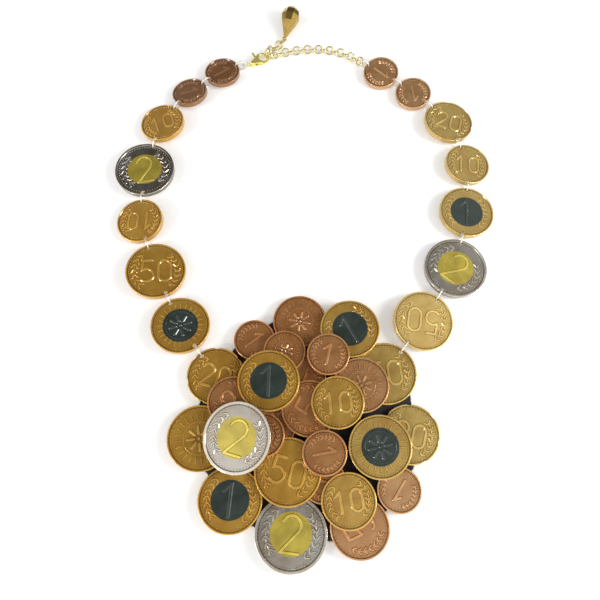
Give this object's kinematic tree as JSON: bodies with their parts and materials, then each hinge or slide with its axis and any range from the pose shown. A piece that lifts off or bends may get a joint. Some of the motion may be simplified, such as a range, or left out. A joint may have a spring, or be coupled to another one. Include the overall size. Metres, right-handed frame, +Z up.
{
  "type": "coin necklace",
  "caption": "Necklace of plastic play coins on jump rings, with a bib of coins glued to black felt, a lobster clasp, an extender chain and a faceted drop.",
  "frame": {"origin": "on the surface it lies on, under the middle of the whole necklace", "axes": "+Z up from the surface, +Y from the bib towards the clasp, +X towards the chain on the picture's right"},
  "size_m": [0.1647, 0.2516, 0.0136],
  "materials": {
    "copper_plastic": "satin metallic copper paint on moulded plastic",
    "gold_plastic": "satin metallic gold paint on moulded plastic",
    "gold_ring_plastic": "satin gold outer ring with a dark blue-grey painted middle",
    "grey_ring_plastic": "satin silver-grey outer ring with a gold painted middle",
    "black_felt": "matt felt",
    "jump_ring_metal": "pale gold plated wire",
    "gold_metal": "polished yellow gold plating"
  },
  "bodies": {
    "necklace": {"felt_backing": "black_felt", "bib_coin_01": "copper_plastic", "bib_coin_02": "copper_plastic", "bib_coin_03": "copper_plastic", "bib_coin_04": "gold_plastic", "bib_coin_05": "gold_plastic", "bib_coin_06": "copper_plastic", "bib_coin_07": "copper_plastic", "bib_coin_08": "gold_plastic", "bib_coin_09": "gold_plastic", "bib_coin_10": "copper_plastic", "bib_coin_11": "copper_plastic", "bib_coin_12": "grey_ring_plastic", "bib_coin_13": "gold_ring_plastic", "bib_coin_14": "copper_plastic", "bib_coin_15": "gold_ring_plastic", "bib_coin_16": "copper_plastic", "bib_coin_17": "copper_plastic", "bib_coin_18": "copper_plastic", "bib_coin_19": "gold_plastic", "bib_coin_20": "gold_plastic", "bib_coin_21": "gold_ring_plastic", "bib_coin_22": "copper_plastic", "bib_coin_23": "gold_plastic", "bib_coin_24": "gold_ring_plastic", "bib_coin_25": "copper_plastic", "bib_coin_26": "copper_plastic", "bib_coin_27": "grey_ring_plastic", "left_coin_1": "gold_ring_plastic", "left_coin_2": "gold_plastic", "left_coin_3": "gold_plastic", "left_coin_4": "grey_ring_plastic", "left_coin_5": "gold_plastic", "left_coin_6": "copper_plastic", "left_coin_7": "copper_plastic", "right_coin_1": "gold_plastic", "right_coin_2": "grey_ring_plastic", "right_coin_3": "gold_ring_plastic", "right_coin_4": "gold_plastic", "right_coin_5": "gold_plastic", "right_coin_6": "copper_plastic", "right_coin_7": "copper_plastic", "left_rings": "jump_ring_metal", "right_rings": "jump_ring_metal", "clasp_ring": "jump_ring_metal", "hook_rings": "gold_metal", "clasp_body": "gold_metal", "extender_chain": "gold_metal", "drop_chain": "gold_metal", "drop": "gold_metal"},
    "clasp_lever": {"clasp_lever": "gold_metal"}
  },
  "joints": [
    {"name": "clasp_lever_hinge", "type": "hinge", "parent": "necklace", "child": "clasp_lever", "pos_m": [-0.02232, 0.09438, 0.0019], "axis": [0, 0, 1], "range_deg": [0, 25], "stiffness_Nm_per_rad": 0.01, "springref_deg": -17.19}
  ]
}
